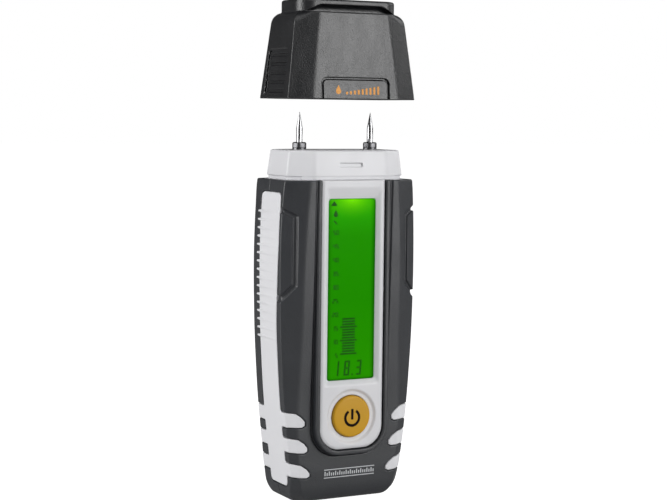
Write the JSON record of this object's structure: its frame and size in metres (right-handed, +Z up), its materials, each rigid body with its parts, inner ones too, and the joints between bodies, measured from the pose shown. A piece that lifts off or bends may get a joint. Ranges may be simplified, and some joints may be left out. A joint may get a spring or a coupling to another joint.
{
  "type": "moisture meter",
  "caption": "Handheld two-pin moisture meter with lit display, power button, side grips and a lift-off cap over its needles.",
  "frame": {"origin": "centre of the base, on the surface the meter stands on", "axes": "+Z up the meter towards the needles, -Y towards the user in front of the display, +X to the right as the user sees the display"},
  "size_m": [0.056, 0.0328, 0.1825],
  "materials": {
    "armour": "satin",
    "housing": "satin",
    "grip": "matte",
    "cap": "satin",
    "button": "satin",
    "symbol": "matte",
    "needle_steel": "polished",
    "contact_steel": "satin",
    "brass": "satin",
    "pane": "clear",
    "display": "lit green",
    "light_guide": "clear",
    "led": "lit",
    "elastomer": "matte",
    "board": "solder mask",
    "component": "matte",
    "switch_stem": "satin",
    "cell": "printed sleeve",
    "screw_steel": "zinc"
  },
  "bodies": {
    "meter": {"front_jacket": "armour", "rear_jacket": "armour", "front_housing": "housing", "rear_housing": "housing", "left_grip": "grip", "right_grip": "grip", "electrode_head": "housing", "left_pin": "needle_steel", "right_pin": "needle_steel", "left_pin_nut": "needle_steel", "right_pin_nut": "needle_steel", "left_terminal": "brass", "right_terminal": "brass", "pin_contacts": "contact_steel", "display_window": "pane", "lcd_panel": "display", "light_guide": "light_guide", "backlight_led": "led", "zebra_connector": "elastomer", "circuit_board": "board", "processor_chip": "component", "buzzer": "component", "tact_switch": "component", "left_cell": "cell", "right_cell": "cell", "battery_springs": "contact_steel", "battery_plates": "contact_steel", "housing_screws": "screw_steel"},
    "power_button": {"button_cap": "button", "button_symbol": "symbol", "switch_plunger": "switch_stem"},
    "battery_lid": {"battery_cover": "armour"},
    "cap": {"cap_shell": "cap"}
  },
  "joints": [
    {"name": "cap_slide", "type": "slide", "parent": "meter", "child": "cap", "axis": [0, 0, 1], "range_m": [-0.029, 0]},
    {"name": "button_press", "type": "slide", "parent": "meter", "child": "power_button", "axis": [0, 1, 0], "range_m": [0, 0.0006], "stiffness_N_per_m": 2000, "springref_m": -0.0003},
    {"name": "battery_cover_lift", "type": "slide", "parent": "meter", "child": "battery_lid", "axis": [0, 1, 0], "range_m": [0, 0.012]}
  ]
}
